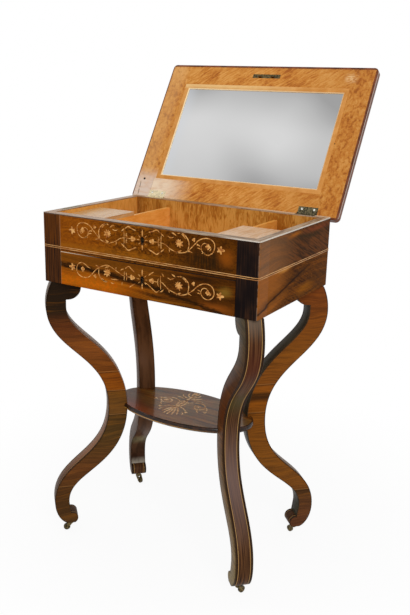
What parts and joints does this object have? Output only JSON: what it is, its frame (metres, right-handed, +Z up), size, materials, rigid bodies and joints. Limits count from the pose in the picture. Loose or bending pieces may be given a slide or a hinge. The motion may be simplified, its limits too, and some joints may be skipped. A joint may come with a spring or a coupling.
{
  "type": "writing table",
  "caption": "Small writing and dressing table on scrolled legs: a hinged lid holding a mirror over a compartmented tray, a drawer below it, an oval shelf and castors.",
  "frame": {"origin": "middle of the bounding box's footprint with the lid open as stored, on the floor under the wheels", "axes": "+X to the right seen from the front, +Y to the back, where the lid leans, and +Z up; the drawer faces -Y"},
  "size_m": [0.525, 0.5386, 1.0393],
  "materials": {
    "rosewood": "polished",
    "dark_edge": "polished",
    "satinwood": "polished",
    "rim_veneer": "satin",
    "carcass_wood": "matt",
    "pale_fillet": "polished",
    "aged_brass": "aged",
    "bright_brass": "polished",
    "mirror_glass": "polished"
  },
  "bodies": {
    "case": {"case_side_left": "rosewood", "case_side_right": "rosewood", "case_back": "rosewood", "case_bottom": "carcass_wood", "front_rail": "rosewood", "front_post_left": "dark_edge", "front_post_right": "dark_edge", "corner_blocks": "carcass_wood", "rim_band": "rim_veneer", "tray_floor": "carcass_wood", "tray_lining": "satinwood", "partition_left": "satinwood", "partition_right": "satinwood", "cross_partition_left": "satinwood", "cross_partition_right": "satinwood", "cover_ledges": "carcass_wood", "drawer_guides": "carcass_wood", "drawer_stops": "carcass_wood", "hinge_case_leaves": "aged_brass", "hinge_pins": "aged_brass", "lid_lock": "aged_brass", "upper_escutcheon": "bright_brass", "stay_plate": "aged_brass", "leg_front_left": "rosewood", "leg_front_right": "rosewood", "leg_back_left": "rosewood", "leg_back_right": "rosewood", "shelf": "rosewood", "shelf_moulding": "dark_edge", "shelf_dowels": "carcass_wood", "castor_plates": "aged_brass"},
    "lid": {"lid_board": "rosewood", "lid_moulding": "dark_edge", "lid_facing": "satinwood", "mirror_glass": "mirror_glass", "mirror_backing": "carcass_wood", "mirror_fillet": "pale_fillet", "hinge_lid_leaves": "aged_brass", "lid_strike": "aged_brass"},
    "drawer": {"drawer_front": "rosewood", "drawer_side_left": "carcass_wood", "drawer_side_right": "carcass_wood", "drawer_back": "carcass_wood", "drawer_bottom": "carcass_wood", "drawer_lock": "aged_brass", "drawer_escutcheon": "bright_brass"},
    "left_cover": {"cover_left": "satinwood"},
    "right_cover": {"cover_right": "satinwood"},
    "lid_bolt": {"lid_lock_bolt": "bright_brass"},
    "drawer_bolt": {"drawer_lock_bolt": "bright_brass"},
    "castor_front_left": {"castor_fork_front_left": "aged_brass"},
    "wheel_front_left": {"castor_wheel_front_left": "aged_brass"},
    "castor_front_right": {"castor_fork_front_right": "aged_brass"},
    "wheel_front_right": {"castor_wheel_front_right": "aged_brass"},
    "castor_back_left": {"castor_fork_back_left": "aged_brass"},
    "wheel_back_left": {"castor_wheel_back_left": "aged_brass"},
    "castor_back_right": {"castor_fork_back_right": "aged_brass"},
    "wheel_back_right": {"castor_wheel_back_right": "aged_brass"}
  },
  "joints": [
    {"name": "lid_hinge", "type": "hinge", "parent": "case", "child": "lid", "pos_m": [0, 0.07159, 0.739], "axis": [-1, 0, 0], "range_deg": [-121, 0]},
    {"name": "drawer_slide", "type": "slide", "parent": "case", "child": "drawer", "axis": [0, -1, 0], "range_m": [0, 0.2]},
    {"name": "left_cover_lift", "type": "slide", "parent": "case", "child": "left_cover", "axis": [0, 0, 1], "range_m": [0, 0.05]},
    {"name": "right_cover_lift", "type": "slide", "parent": "case", "child": "right_cover", "axis": [0, 0, 1], "range_m": [0, 0.05]},
    {"name": "lid_bolt_slide", "type": "slide", "parent": "case", "child": "lid_bolt", "axis": [0, 0, 1], "range_m": [0, 0.007]},
    {"name": "drawer_bolt_slide", "type": "slide", "parent": "drawer", "child": "drawer_bolt", "axis": [0, 0, 1], "range_m": [0, 0.007]},
    {"name": "castor_front_left_swivel", "type": "hinge", "parent": "case", "child": "castor_front_left", "pos_m": [-0.22001, -0.22722, 0.026], "axis": [0, 0, 1], "continuous": true},
    {"name": "wheel_front_left_axle", "type": "hinge", "parent": "castor_front_left", "child": "wheel_front_left", "pos_m": [-0.22637, -0.23358, 0.0075], "axis": [0.7071, -0.7071, 0], "continuous": true},
    {"name": "castor_front_right_swivel", "type": "hinge", "parent": "case", "child": "castor_front_right", "pos_m": [0.22001, -0.22722, 0.026], "axis": [0, 0, 1], "continuous": true},
    {"name": "wheel_front_right_axle", "type": "hinge", "parent": "castor_front_right", "child": "wheel_front_right", "pos_m": [0.22294, -0.21871, 0.0075], "axis": [-0.9455, 0.3256, 0], "continuous": true},
    {"name": "castor_back_left_swivel", "type": "hinge", "parent": "case", "child": "castor_back_left", "pos_m": [-0.22001, 0.0398, 0.026], "axis": [0, 0, 1], "continuous": true},
    {"name": "wheel_back_left_axle", "type": "hinge", "parent": "castor_back_left", "child": "wheel_back_left", "pos_m": [-0.2115, 0.03687, 0.0075], "axis": [0.3256, 0.9455, 0], "continuous": true},
    {"name": "castor_back_right_swivel", "type": "hinge", "parent": "case", "child": "castor_back_right", "pos_m": [0.22001, 0.0398, 0.026], "axis": [0, 0, 1], "continuous": true},
    {"name": "wheel_back_right_axle", "type": "hinge", "parent": "castor_back_right", "child": "wheel_back_right", "pos_m": [0.2115, 0.04273, 0.0075], "axis": [-0.3256, -0.9455, 0], "continuous": true}
  ]
}
